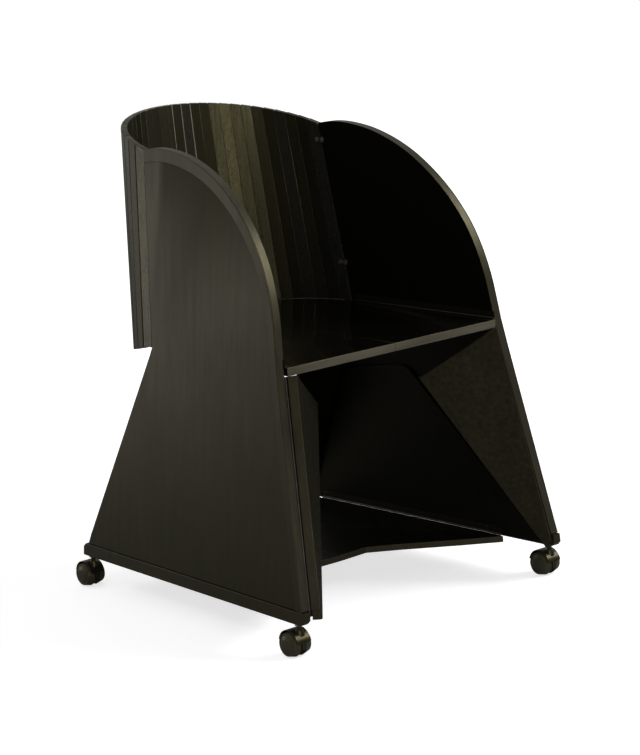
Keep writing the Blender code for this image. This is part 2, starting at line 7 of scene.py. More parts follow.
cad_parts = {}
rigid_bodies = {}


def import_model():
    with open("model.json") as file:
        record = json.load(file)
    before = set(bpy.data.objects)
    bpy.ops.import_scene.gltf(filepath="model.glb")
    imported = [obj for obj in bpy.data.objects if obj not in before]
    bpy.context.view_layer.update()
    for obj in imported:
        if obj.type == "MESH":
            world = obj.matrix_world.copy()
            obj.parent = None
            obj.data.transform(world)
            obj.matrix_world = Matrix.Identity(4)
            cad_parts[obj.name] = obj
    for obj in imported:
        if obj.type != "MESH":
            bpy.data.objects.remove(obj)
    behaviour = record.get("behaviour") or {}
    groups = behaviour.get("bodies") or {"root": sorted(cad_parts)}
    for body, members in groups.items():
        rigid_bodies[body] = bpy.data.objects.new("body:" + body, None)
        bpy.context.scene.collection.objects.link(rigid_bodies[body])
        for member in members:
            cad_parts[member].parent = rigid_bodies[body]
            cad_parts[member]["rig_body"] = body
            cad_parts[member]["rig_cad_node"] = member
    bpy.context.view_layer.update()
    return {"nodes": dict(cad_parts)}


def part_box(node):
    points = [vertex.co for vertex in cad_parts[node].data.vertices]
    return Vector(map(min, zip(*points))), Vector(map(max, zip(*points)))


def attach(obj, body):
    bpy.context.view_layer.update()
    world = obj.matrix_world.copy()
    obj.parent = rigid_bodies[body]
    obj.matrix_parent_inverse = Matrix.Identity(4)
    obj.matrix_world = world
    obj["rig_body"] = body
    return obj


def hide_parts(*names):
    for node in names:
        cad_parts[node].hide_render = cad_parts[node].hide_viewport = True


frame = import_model()
bpy.ops.object.select_all(action="DESELECT")

# The room
# A white sweep of floor and wall, lit by four softboxes: a wide one behind the camera for the sheen on
# the slats, a high one on the right that throws the shadow leftward, and two small ones on the left.
# The boards mirror a room that is pale behind the chair and dark in front, and their inner faces also carry painted
# shade, so they stay black.
YAW, PITCH, ROLL = (math.radians(angle) for angle in (-40.19, 12.09, -3.44))
CAMERA_AWAY, CAMERA_LEFT, CAMERA_DOWN = 4.2447, 0.0096, 0.0772
SEAT_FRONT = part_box("seat_left")[0].y
look_at = Vector((0, SEAT_FRONT + 0.1714, 0.4504))
ahead = Vector((-math.sin(YAW) * math.cos(PITCH), math.cos(YAW) * math.cos(PITCH), -math.sin(PITCH)))
level = Vector((math.cos(YAW), math.sin(YAW), 0))
upright = level.cross(ahead)
across = level * math.cos(ROLL) + upright * math.sin(ROLL)
upward = upright * math.cos(ROLL) - level * math.sin(ROLL)
bpy.ops.object.camera_add()
camera = bpy.context.object
camera.name = "studio_camera"
camera.data.lens = 142.6
camera.data.sensor_width = 36
camera.data.sensor_fit = "HORIZONTAL"
spot = look_at - ahead * CAMERA_AWAY - across * CAMERA_LEFT - upward * CAMERA_DOWN
turned = Matrix((across, upward, -ahead)).transposed().to_4x4()
camera.matrix_world = Matrix.Translation(spot) @ turned
bpy.context.scene.camera = camera
bpy.context.scene.view_settings.view_transform = "Standard"

# Each lamp's place, width, height and power. All of them face the chair.
for name, place, wide, tall, watts in (
    ("sheen_softbox", (-2.5, -4.25, 0.85), 3.2, 1.6, 46),
    ("high_softbox", (-2.0, -0.65, 2.1), 0.8, 0.8, 8),
    ("shadow_softbox", (2.5, -2.2, 2.8), 2.0, 2.0, 100),
    ("left_softbox", (-1.6, 2.6, 0.35), 0.8, 1.2, 6),
):
    bpy.ops.object.light_add(type="AREA", location=place)
    lamp = bpy.context.object
    lamp.name = name
    lamp.data.energy = watts
    lamp.data.shape = "RECTANGLE"
    lamp.data.size = wide
    lamp.data.size_y = tall
    lamp.rotation_euler = (look_at - Vector(place)).to_track_quat("-Z", "Y").to_euler()


def smooth_range(nodes, start, end, low, high):
    """A smooth step from low to high while what is fed in goes from start to end."""
    made = nodes.new("ShaderNodeMapRange")
    made.interpolation_type = "SMOOTHSTEP"
    for socket, value in (("From Min", start), ("From Max", end), ("To Min", low), ("To Max", high)):
        made.inputs[socket].default_value = value
    return made


def show_camera(nodes, links, shown, other, ending):
    """Shows the camera one shader and all other rays another."""
    seen = nodes.new("ShaderNodeLightPath")
    pick = nodes.new("ShaderNodeMixShader")
    links.new(seen.outputs["Is Camera Ray"], pick.inputs[0])
    links.new(other.outputs[0], pick.inputs[1])
    links.new(shown.outputs[0], pick.inputs[2])
    links.new(pick.outputs[0], nodes.new(ending).inputs[0])


world = bpy.data.worlds.new("studio")
bpy.context.scene.world = world
world.use_nodes = True
nodes, links = world.node_tree.nodes, world.node_tree.links
nodes.clear()
heading = nodes.new("ShaderNodeTexCoord")
parts = nodes.new("ShaderNodeSeparateXYZ")
links.new(heading.outputs["Generated"], parts.inputs[0])
behind = smooth_range(nodes, -0.25, 0.45, 0.015, 0.44)
links.new(parts.outputs["Y"], behind.inputs["Value"])
above = smooth_range(nodes, 0.35, 0.95, 0.0, 0.25)
links.new(parts.outputs["Z"], above.inputs["Value"])
glow = nodes.new("ShaderNodeMath")
glow.operation = "ADD"
links.new(behind.outputs[0], glow.inputs[0])
links.new(above.outputs[0], glow.inputs[1])
room = nodes.new("ShaderNodeBackground")
links.new(glow.outputs[0], room.inputs["Strength"])
white = nodes.new("ShaderNodeBackground")
white.inputs["Color"].default_value = (1, 1, 1, 1)
show_camera(nodes, links, white, room, "ShaderNodeOutputWorld")

# The floor glows a little more away from the chair, so that it fades into the white behind it.
bpy.ops.mesh.primitive_plane_add(size=12, location=(0, 0, 0))
floor = bpy.context.object
floor.name = "studio_floor"
pale = bpy.data.materials.new("pale_floor")
pale.use_nodes = True
nodes, links = pale.node_tree.nodes, pale.node_tree.links
nodes.clear()
matte = nodes.new("ShaderNodeBsdfDiffuse")
matte.inputs["Color"].default_value = (0.8, 0.8, 0.8, 1)
lit = nodes.new("ShaderNodeEmission")
spread = nodes.new("ShaderNodeTexCoord")
radius = nodes.new("ShaderNodeVectorMath")
radius.operation = "LENGTH"
links.new(spread.outputs["Object"], radius.inputs[0])
paler = smooth_range(nodes, 1.0, 2.6, 0.70, 1.0)
links.new(radius.outputs["Value"], paler.inputs["Value"])
links.new(paler.outputs[0], lit.inputs["Strength"])
both = nodes.new("ShaderNodeAddShader")
links.new(matte.outputs[0], both.inputs[0])
links.new(lit.outputs[0], both.inputs[1])
dull = nodes.new("ShaderNodeBsdfDiffuse")
dull.inputs["Color"].default_value = (0.35, 0.35, 0.34, 1)
show_camera(nodes, links, both, dull, "ShaderNodeOutputMaterial")
floor.data.materials.append(pale)

# The two sides
# Each side is one board of plywood that leans in and splays out, stained black with an olive brown
# cast under a satin lacquer, so that its grain shows as fine upright streaks. A bent strip of the same
# wood is glued round the arm and down the front edge, and a rail along the foot holds the castors.
SEAT_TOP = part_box("seat_left")[1].z
HALF_WIDTH = 0.2324
SPLAY = 0.0436
LEAN = 0.099
PLY = 0.0163
SIDES = ((-1, "left"), (1, "right"))


def half_width(depth, height):
    """Half of the clear width between the sides, at a depth behind the seat's front edge."""
    return HALF_WIDTH - SPLAY * depth - LEAN * (height - SEAT_TOP)


def on_side(side, depth, height, out=0.0):
    """A point on a side, counted outward from its inner face."""
    return Vector((side * (half_width(depth, height) + out), SEAT_FRONT + depth, height))


def inward_of(side):
    """The way that a side's inner face looks."""
    return Vector((-side, -SPLAY, -LEAN)).normalized()


def stained(name, dark, light, rough, shine, grain, bump=0.1, mottle=0.0, speck=60.0):
    """Black stained wood. Grain gives the noise's scale along each axis, low along the fibres."""
    made = bpy.data.materials.new(name)
    made.use_nodes = True
    nodes, links = made.node_tree.nodes, made.node_tree.links
    skin = nodes["Principled BSDF"]
    skin.inputs["Specular IOR Level"].default_value = shine
    skin.inputs["Specular Tint"].default_value = (1, 0.88, 0.44, 1)
    place = nodes.new("ShaderNodeTexCoord")
    stretch = nodes.new("ShaderNodeMapping")
    stretch.inputs["Scale"].default_value = grain
    links.new(place.outputs["Object"], stretch.inputs["Vector"])
    streaks = nodes.new("ShaderNodeTexNoise")
    streaks.inputs["Scale"].default_value = 1.0
    streaks.inputs["Detail"].default_value = 6.0
    streaks.inputs["Roughness"].default_value = 0.65
    links.new(stretch.outputs[0], streaks.inputs["Vector"])
    clouds = nodes.new("ShaderNodeTexNoise")
    clouds.inputs["Scale"].default_value = 5.0 + speck * mottle
    clouds.inputs["Detail"].default_value = 3.0 + 5.0 * mottle
    links.new(place.outputs["Object"], clouds.inputs["Vector"])
    blend = nodes.new("ShaderNodeMix")
    blend.inputs["Factor"].default_value = 0.45 + 0.3 * mottle
    links.new(streaks.outputs["Fac"], blend.inputs["A"])
    links.new(clouds.outputs["Fac"], blend.inputs["B"])
    tint = nodes.new("ShaderNodeValToRGB")
    tint.color_ramp.elements[0].position = 0.36
    tint.color_ramp.elements[0].color = (*dark, 1)
    tint.color_ramp.elements[1].position = 0.64
    tint.color_ramp.elements[1].color = (*light, 1)
    links.new(blend.outputs["Result"], tint.inputs["Fac"])
    links.new(tint.outputs["Color"], skin.inputs["Base Color"])
    gloss = nodes.new("ShaderNodeMapRange")
    gloss.inputs["From Min"].default_value = 0.3
    gloss.inputs["From Max"].default_value = 0.7
    gloss.inputs["To Min"].default_value = rough + 0.05 + 0.08 * mottle
    gloss.inputs["To Max"].default_value = rough - 0.05 - 0.08 * mottle
    links.new(blend.outputs["Result"], gloss.inputs["Value"])
    links.new(gloss.outputs["Result"], skin.inputs["Roughness"])
    relief = nodes.new("ShaderNodeBump")
    relief.inputs["Strength"].default_value = bump
    relief.inputs["Distance"].default_value = 0.0005
    links.new(streaks.outputs["Fac"], relief.inputs["Height"])
    links.new(relief.outputs["Normal"], skin.inputs["Normal"])
    return made


def only(piece):
    """Selects one piece and makes it the active one."""
    bpy.ops.object.select_all(action="DESELECT")
    piece.select_set(True)
    bpy.context.view_layer.objects.active = piece


def ease(piece, radius, angle=28):
    """Rounds the sharp edges, as sanding does, and leaves the flat faces flat."""
    only(piece)
    rounding = piece.modifiers.new("ease", "BEVEL")
    rounding.width = radius
    rounding.segments = 2
    rounding.limit_method = "ANGLE"
    rounding.angle_limit = math.radians(angle)
    bpy.ops.object.modifier_apply(modifier="ease")
    bpy.ops.object.shade_smooth_by_angle(angle=math.radians(20))


def dressed(piece, look, body, slot_name, *stands_for):
    """Gives a finished piece its material, unless it has its own, and its place in the part."""
    if look:
        piece.data.materials.clear()
        piece.data.materials.append(look)
    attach(piece, body)
    if stands_for:
        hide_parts(*stands_for)
    return piece


def eased_copy(node, name, radius, shift=None):
    """A copy of a CAD node's board with its edges eased. Shift may move its corners first."""
    piece = frame["nodes"][node].copy()
    piece.data = piece.data.copy()
    piece.name = name
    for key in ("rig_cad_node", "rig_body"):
        if key in piece:
            del piece[key]
    piece.parent = None
    bpy.context.scene.collection.objects.link(piece)
    only(piece)
    bpy.ops.object.mode_set(mode="EDIT")
    bpy.ops.mesh.select_all(action="SELECT")
    bpy.ops.mesh.remove_doubles(threshold=0.00002)
    bpy.ops.mesh.dissolve_limited(angle_limit=math.radians(0.6))
    bpy.ops.object.mode_set(mode="OBJECT")
    if shift:
        for corner in piece.data.vertices:
            corner.co = shift(corner.co)
    ease(piece, radius)
    return piece


def stain_faces(piece, look, chosen):
    """Gives the chosen faces of a piece one more material."""
    piece.data.materials.append(look)
    for face in piece.data.polygons:
        if chosen(face):
            face.material_index = len(piece.data.materials) - 1


UPRIGHT_GRAIN = (75, 75, 2.0)
BOARD_GRAIN = (60, 60, 3)
EDGE_GRAIN = (90, 90, 14)
panel_look = stained("side_panel_stain", (0.009, 0.0082, 0.0042), (0.021, 0.0185, 0.010), 0.36, 0.33, UPRIGHT_GRAIN)
band_look = stained("edge_band_stain", (0.013, 0.0115, 0.007), (0.024, 0.021, 0.013), 0.36, 0.35, UPRIGHT_GRAIN)
rim_look = stained("board_edge_stain", (0.019, 0.0175, 0.012), (0.044, 0.040, 0.029), 0.38, 0.38, EDGE_GRAIN)
board_look = stained("lining_board_stain", (0.0025, 0.0025, 0.0017), (0.005, 0.005, 0.0034), 0.42, 0.13, BOARD_GRAIN)
# Painted shade: a near black, dull copy of the stain. It goes on the sides' inner faces and, as painted shadow lines,
# on the band's edges and the rail's top.
painted_shade_look = stained("painted_shade_black", (0.0012, 0.0012, 0.0009), (0.0022, 0.0021, 0.0016), 0.5, 0.12, BOARD_GRAIN)
POST_WIDE = 0.025
POST_MIDDLE = 0.2
POST_WIDER = {-1: -0.004, 1: 0.056}
POST_NARROWER = 0.042
POST_TALLER = 0.017
POST_SLANT = 0.526


def post_corner(side):
    """Moves a corner of the rear post to the width and height that the photograph shows."""
    def shift(co):
        moved = co.copy()
        inner = half_width(co.y - SEAT_FRONT, co.z) - abs(co.x) > POST_WIDE
        if co.z > POST_MIDDLE:
            if inner:
                moved.x -= side * POST_WIDER[side]
            moved += Vector((side * (SPLAY * POST_SLANT - LEAN), -POST_SLANT, 1)) * POST_TALLER
        elif inner:
            moved.x += side * POST_NARROWER
        return moved
    return shift


for side, word in SIDES:
    board = dressed(eased_copy("side_panel_" + word, "side_board_" + word, 0.0006), panel_look,
                    "side_" + word, "wood", "side_panel_" + word)
    stain_faces(board, rim_look, lambda face: abs(face.normal.dot(inward_of(side))) < 0.6)
    # The inner face gets painted shade.
    stain_faces(board, painted_shade_look, lambda face: face.normal.dot(inward_of(side)) > 0.9)
    band = dressed(eased_copy("edge_band_" + word, "arm_band_" + word, 0.0005), band_look,
                   "side_" + word, "edge", "edge_band_" + word)
    stain_faces(band, rim_look, lambda face: abs(face.normal.dot(inward_of(side))) < 0.6)
    # The band's edges that face back or down get painted shade, a painted shadow line along its step.
    stain_faces(band, painted_shade_look, lambda face: face.material_index == 1 and face.normal.z < face.normal.y)
    rail = dressed(eased_copy("rail_" + word, "foot_rail_" + word, 0.0009), band_look,
                   "side_" + word, "edge", "rail_" + word)
    # The rail's top gets painted shade, a painted shadow line above the rail.
    stain_faces(rail, painted_shade_look, lambda face: face.normal.z > 0.8)
    dressed(eased_copy("inner_board_" + word, "lining_board_" + word, 0.0008), board_look,
            "side_" + word, "wood", "inner_board_" + word)
    dressed(eased_copy("rear_stile_" + word, "rear_post_" + word, 0.0012, post_corner(side)), board_look,
            "side_" + word, "wood", "rear_stile_" + word)

# The seat, the low shelf and the front flaps
# Boards of the same stained wood. The seat is polished, so it mirrors the slats behind it. The shelf
# lies between the lining boards, and the flaps are three cornered boards with a dull, mottled face.
DEEP_GRAIN = (60, 2.2, 60)
seat_look = stained("seat_lacquer", (0.002, 0.002, 0.0015), (0.004, 0.0035, 0.0025), 0.13, 0.6, DEEP_GRAIN, 0.02)
# Pale: the seat's own front edge colour, and on the rear bead a painted highlight.
seat_edge_and_highlight_look = stained("seat_edge_stain_and_painted_highlight", (0.055, 0.050, 0.038), (0.12, 0.11, 0.085), 0.4, 0.4, (8, 90, 160))
shelf_look = stained("shelf_stain", (0.002, 0.002, 0.0014), (0.004, 0.004, 0.0028), 0.42, 0.18, DEEP_GRAIN,
                     mottle=0.6)
flap_look = stained("flap_stain", (0.009, 0.0088, 0.0058), (0.016, 0.0155, 0.0105), 0.5, 0.12, (18, 18, 7),
                    0.2, 0.8, 160)
SHELF_LONGER = 0.060
SHELF_REAR = 0.42
KNUCKLE_R = 0.0024
PIN_OFF = KNUCKLE_R + 0.0003
FLAP_CAD_THICK = 0.011
FLAP_THICKER = 0.004
FLAP_TURN = math.radians(4)
FLAP_HIGH = (0.0030, 0.4300)
FLAP_LOW = (-0.0690, 0.0610)
FLAP_TIP = (0.1174, 0.0750, 0.3612)
FLAP_UNDER_SEAT = 0.0139


def flap_line(side):
    """The pin's ends on a flap, its axis, and the way the board runs and faces before it is turned."""
    inward = inward_of(side)
    high = on_side(side, *FLAP_HIGH) + inward * PIN_OFF
    low = on_side(side, *FLAP_LOW) + inward * PIN_OFF
    axis = (low - high).normalized()
    run = Vector((side * FLAP_TIP[0], SEAT_FRONT + FLAP_TIP[1], FLAP_TIP[2])) - high
    run = (run - axis * run.dot(axis)).normalized()
    face = axis.cross(run)
    if face.dot(inward) < 0:
        face = -face
    return high, low, axis, run, face


def shelf_corner(side):
    """Moves a rear corner of the shelf back to where the photograph shows it under the back."""
    def shift(co):
        if co.y - SEAT_FRONT < SHELF_REAR:
            return co
        outer = abs(co.x) > 0.05
        return co + Vector((-side * SPLAY if outer else 0, 1, 0)) * SHELF_LONGER
    return shift


def flap_turned(side):
    """The turn about the pin that lays the board's front face where the photograph has it."""
    axis, run, face = flap_line(side)[2:]
    turn = Matrix.Rotation(FLAP_TURN, 3, axis)
    return turn if (turn @ run).dot(face) < 0 else turn.transposed()


def flap_corner(side):
    """Turns a corner of the flap, thickens the board, and takes its top up to the seat."""
    high, low, axis, run, face = flap_line(side)
    turn = flap_turned(side)

    def shift(co):
        away = co - high
        at_top = away.dot(axis) < 0.03
        if away.dot(face) > PIN_OFF + FLAP_CAD_THICK / 2:
            away += face * FLAP_THICKER
        moved = high + turn @ away
        if at_top:
            in_front = max(0.0, SEAT_FRONT - 0.001 - moved.y)
            moved.z = SEAT_TOP - FLAP_UNDER_SEAT + in_front * 0.25
        return moved
    return shift


for side, word in SIDES:
    seat = dressed(eased_copy("seat_" + word, "seat_half_" + word, 0.0009), seat_look,
                   "seat_" + word, "wood", "seat_" + word)
    stain_faces(seat, seat_edge_and_highlight_look, lambda face: face.normal.y < -0.7)
    shelf = dressed(eased_copy("shelf_" + word, "shelf_half_" + word, 0.0008, shelf_corner(side)), shelf_look,
                    "shelf_" + word, "wood", "shelf_" + word)
    stain_faces(shelf, rim_look, lambda face: face.normal.y < -0.3 and abs(face.normal.z) < 0.5)
    flap = dressed(eased_copy("front_flap_" + word, "corner_flap_" + word, 0.0008, flap_corner(side)), flap_look,
                   "flap_" + word, "wood", "front_flap_" + word)
    facing = flap_turned(side) @ flap_line(side)[4]
    stain_faces(flap, rim_look, lambda face: abs(face.normal.dot(facing)) < 0.6)

# The back
# Thirty upright slats stand in a half round from side to side. They are sawn from the same stained
# wood, flat in front with eased edges, lean a little like the sides, and their top ends make the rim.
# The outer slats are a little wider, and the middle one is parted on the chair's centre line.
SHARES = [1.33, 1.15, 1.09, 1.09, 1.03, 1.0, 0.98, 1.0, 0.98, 0.95, 0.93, 0.93, 0.96, 1.0, 0.36]
GROUP_OF = [1, 2, 2, 3, 3, 4, 4, 5, 5, 6, 6, 7, 7, 8, 8]
ROUND_DEPTH = 0.1815
SLAT_THICK = 0.011
SLAT_EASED = 0.0009
ENDS = ((0.3512, SEAT_TOP - 0.006, -0.229), (0.3784, SEAT_TOP + 0.319, 0.246))


def round_point(end, turn):
    """A point on the inner face of the round back, at its foot (end 0) or its rim (end 1)."""
    start, height, slope = ENDS[end]
    half = half_width(start, height)
    deep = ROUND_DEPTH * math.sin(turn)
    return Vector((half * math.cos(turn), SEAT_FRONT + start + deep, height + slope * deep))


# A thin pale bead closes the rear edge of each seat half against the slats. It is a painted highlight, standing in
# for the bright line of light along the seat's rear edge.
BEAD_R = 0.0009
BEAD_IN = 0.0050
BEAD_START = math.radians(4)
BEAD_KNOTS = 30
for side, word in SIDES:
    bead = bpy.data.curves.new("seat_rear_bead_" + word, "CURVE")
    bead.dimensions = "3D"
    bead.bevel_depth = BEAD_R
    bead.bevel_resolution = 2
    line = bead.splines.new("POLY")
    line.points.add(BEAD_KNOTS)
    for k, knot in enumerate(line.points):
        turn = BEAD_START + (math.pi / 2 - BEAD_START) * k / BEAD_KNOTS
        at = round_point(0, turn)
        off_middle = max(at.x - BEAD_IN * math.cos(turn), 0.0008)
        knot.co = (side * off_middle, at.y - BEAD_IN * math.sin(turn), SEAT_TOP, 1)
    holder = bpy.data.objects.new("seat_rear_bead_" + word, bead)
    bpy.context.scene.collection.objects.link(holder)
    only(holder)
    bpy.ops.object.convert(target="MESH")
    dressed(bpy.context.object, seat_edge_and_highlight_look, "seat_" + word, "wood")

# The seams' turns on the quarter round, which share out its length half way up the slats.
TURN_STEPS = 720
steps = [math.pi / 2 * k / TURN_STEPS for k in range(TURN_STEPS + 1)]
half_way = [(round_point(0, turn) + round_point(1, turn)).xy / 2 for turn in steps]
length_so_far = [0.0]
for before, after in zip(half_way[:-1], half_way[1:]):
    length_so_far.append(length_so_far[-1] + (after - before).length)
turns = []
for count in range(len(SHARES) + 1):
    goal = length_so_far[-1] * sum(SHARES[:count]) / sum(SHARES)
    turns.append(steps[min(range(len(steps)), key=lambda k: abs(length_so_far[k] - goal))])


def block(name, corner):
    """A cube whose eight corners are moved to corner(u, v, w), each of them 0 or 1."""
    bpy.ops.mesh.primitive_cube_add(size=1, location=(0, 0, 0))
    made = bpy.context.object
    made.name = name
    for vertex in made.data.vertices:
        vertex.co = corner(*(int(value > 0) for value in vertex.co))
    only(made)
    bpy.ops.object.mode_set(mode="EDIT")
    bpy.ops.mesh.select_all(action="SELECT")
    bpy.ops.mesh.normals_make_consistent(inside=False)
    bpy.ops.object.mode_set(mode="OBJECT")
    return made


def slat_corner(side, first, last, reach, depths, taper):
    """Corners of a strip between two turns: u runs across, v into the thickness, w up.
    Reach and taper hold it off the seams, and the top of a whole slat is cut level across."""
    def corner(u, v, w):
        a, b = round_point(w, first), round_point(w, last)
        flat = (b - a).xy.normalized()
        along, out = flat.to_3d(), Vector((flat.y, -flat.x, 0))
        if out.y < 0:
            out = -out
        at = (b - along * (reach[1] + taper * v)) if u else (a + along * (reach[0] + taper * v))
        if depths[1] > 0.01:
            at.z = (b if u else a).z
        at = at + out * depths[v]
        return Vector((side * at.x, at.y, at.z))
    return corner


slat_looks = [
    stained("slat_stain_" + tone, dark, light, rough, shine, (260, 260, 14), 0.4, 0.8, 330)
    for tone, dark, light, rough, shine in (
        ("olive", (0.003, 0.003, 0.0018), (0.020, 0.019, 0.012), 0.34, 0.62),
        ("grey", (0.004, 0.004, 0.0033), (0.024, 0.024, 0.021), 0.32, 0.72),
        ("dark", (0.002, 0.002, 0.0013), (0.013, 0.013, 0.009), 0.36, 0.52),
    )
]
# Painted highlight: pale wood on the tongues behind three open seams near the middle on the right, standing in for
# bright lines of light on the slat edges there.
seam_highlight_look = stained("painted_seam_highlight", (0.30, 0.27, 0.22), (0.45, 0.42, 0.36), 0.6, 0.3, EDGE_GRAIN)
OPEN_SEAMS = (12, 13, 14)
SEAM_OPEN = 0.0008
SEAM_SHUT = 0.0001
TONGUE_TURN = 0.012
TONGUE_PAST = 0.0010
TONGUE_DEPTHS = (0.0008, 0.0018)
for side, word in SIDES:
    for number, group in enumerate(GROUP_OF, 1):
        first, last = turns[number - 1], turns[number]
        opens = [SEAM_SHUT, SEAM_SHUT]
        if side > 0:
            opens = [SEAM_OPEN if seam in OPEN_SEAMS else SEAM_SHUT for seam in (number - 1, number)]
        tone = slat_looks[(number * 7 + (3 if side > 0 else 1)) % 3]
        slat = block("slat_%s_%02d" % (word, number),
                     slat_corner(side, first, last, opens, (0, SLAT_THICK), SLAT_EASED))
        ease(slat, 0.0005)
        slat.data.materials.append(tone)
        if number < len(GROUP_OF) or side < 0:
            tongue = block("tongue", slat_corner(side, last - TONGUE_TURN, last, (0.0, -TONGUE_PAST),
                                                 TONGUE_DEPTHS, 0.0))
            # Behind an open seam the tongue shows the pale painted highlight.
            tongue.data.materials.append(seam_highlight_look if opens[1] > SEAM_SHUT else tone)
            only(slat)
            tongue.select_set(True)
            bpy.ops.object.join()
        dressed(slat, None, "side_" + word if group == 1 else "slats_%s_%d" % (word, group),
                "slats", "slats_%s_%d" % (word, group))

# The piano hinges
# Long strip hinges of dark steel, two thin leaves with rolled knuckles on one pin, screwed along the
# boards. They run between seat and sides, shelf and sides, flaps and sides, and under both fold lines.
LEAF_THICK = 0.0010
LEAF_WIDE = 0.0120
KNUCKLE_LONG = 0.0166
LEAF_CLEAR = 0.0008
SCREW_R = 0.0024
LINING = 0.005
SEAT_THICK = 0.0138
SHELF_THICK = 0.011
SHELF_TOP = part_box("shelf_left")[1].z
leaf_look = stained("hinge_leaf_steel", (0.004, 0.004, 0.003), (0.009, 0.0085, 0.007), 0.45, 0.2, (40, 40, 40), 0.02)


def bare_steel(name, dark, light, rough):
    """Steel without paint, for knuckles, screw heads and stems."""
    made = stained(name, dark, light, rough, 0.5, (90, 90, 90), 0.02)
    made.node_tree.nodes["Principled BSDF"].inputs["Metallic"].default_value = 1.0
    return made


pin_look = bare_steel("hinge_knuckle_steel", (0.040, 0.038, 0.031), (0.065, 0.062, 0.052), 0.42)


def strip_leaf(name, start, end, lies, faces, turns_on, body, node):
    """One leaf of a piano hinge on the pin from start to end. It lies outward along a face.
    turns_on tells which knuckles it carries: 0 the even ones, 1 the odd ones. With none of them
    its plate starts clear of the pin."""
    first = KNUCKLE_R * 0.5 if turns_on else KNUCKLE_R + LEAF_CLEAR
    axis = (end - start).normalized()
    up = (faces - axis * faces.dot(axis)).normalized()
    out = (lies - axis * lies.dot(axis) - up * lies.dot(up)).normalized()
    length = (end - start).length
    count = int(length / KNUCKLE_LONG)
    step = length / count

    def corner(u, v, w):
        wide = first + (LEAF_WIDE - first) * v
        return start + axis * length * u + out * wide + up * (LEAF_THICK * w - KNUCKLE_R)

    leaf = block(name, corner)
    bits = []
    for k in range(count):
        if k % 2 in turns_on:
            bpy.ops.mesh.primitive_cylinder_add(
                vertices=14, radius=KNUCKLE_R, depth=step * 0.997,
                location=start + axis * step * (k + 0.5), rotation=axis.to_track_quat("Z", "Y").to_euler())
            bits.append(bpy.context.object)
    for k in range(2, count - 1, 4):
        bpy.ops.mesh.primitive_cone_add(
            vertices=12, radius1=SCREW_R, radius2=SCREW_R / 1.5, depth=0.0005,
            location=start + axis * step * k + out * LEAF_WIDE * 0.62 + up * (LEAF_THICK + 0.0002 - KNUCKLE_R),
            rotation=up.to_track_quat("Z", "Y").to_euler())
        bits.append(bpy.context.object)
    only(leaf)
    for bit in bits:
        bit.select_set(True)
    bpy.ops.object.join()
    bpy.ops.object.shade_smooth_by_angle(angle=math.radians(40))
    dressed(leaf, leaf_look, body, "steel", node)
    if "fold_strip" not in name:
        def is_knuckle(face):
            away = face.center - start
            return (away - axis * away.dot(axis)).length < KNUCKLE_R * 1.02
        stain_faces(leaf, pin_look, is_knuckle)


EVEN, ODD = (0,), (1,)
SEAT_STRIP = (0.0030, ENDS[0][0] - LEAF_WIDE)
SHELF_STRIP = (0.0400, 0.4880)
SEAT_FOLD_STRIP = (0.030, ENDS[0][0] + ROUND_DEPTH - LEAF_WIDE)
SHELF_FOLD_STRIP = (0.1960, 0.4328 - KNUCKLE_R)
UP, BACK = Vector((0, 0, 1)), Vector((0, 1, 0))
for side, word in SIDES:
    inward = inward_of(side)
    to_middle = Vector((-side, 0, 0))
    reach = abs(inward.x)
    on_right = side > 0
    a, b = (on_side(side, depth, SEAT_TOP + KNUCKLE_R - LEAF_THICK, -PIN_OFF / reach) for depth in SEAT_STRIP)
    strip_leaf("seat_strip_side_" + word, a, b, UP, inward, EVEN,
               "side_" + word, "seat_hinge_side_leaf_" + word)
    strip_leaf("seat_strip_seat_" + word, a, b, to_middle, UP, ODD,
               "seat_" + word, "seat_hinge_seat_leaf_" + word)
    a, b = (on_side(side, depth, SHELF_TOP + KNUCKLE_R - LEAF_THICK, -(PIN_OFF + LINING) / reach)
            for depth in SHELF_STRIP)
    strip_leaf("shelf_strip_side_" + word, a, b, UP, inward, EVEN + ODD if on_right else EVEN,
               "side_" + word, "shelf_hinge_side_leaf_" + word)
    strip_leaf("shelf_strip_shelf_" + word, a, b, to_middle, UP, () if on_right else ODD,
               "shelf_" + word, "shelf_hinge_shelf_leaf_" + word)
    high, low, axis, run, face = flap_line(side)
    turn = flap_turned(side)
    a, b = high - axis * 0.0062, low - axis * 0.006
    strip_leaf("flap_strip_side_" + word, a, b, BACK, inward, EVEN,
               "side_" + word, "flap_hinge_side_leaf_" + word)
    strip_leaf("flap_strip_flap_" + word, a, b, turn @ run, turn @ -face, ODD,
               "flap_" + word, "flap_hinge_flap_leaf_" + word)
    for board_name, under, ends in (
        ("seat", SEAT_TOP - SEAT_THICK - PIN_OFF, SEAT_FOLD_STRIP),
        ("shelf", SHELF_TOP - SHELF_THICK - PIN_OFF, SHELF_FOLD_STRIP),
    ):
        a, b = (Vector((0, SEAT_FRONT + depth, under)) for depth in ends)
        strip_leaf(board_name + "_fold_strip_" + word, a, b, -to_middle, -UP, EVEN if on_right else ODD,
                   board_name + "_" + word, board_name + "_centre_leaf_" + word)

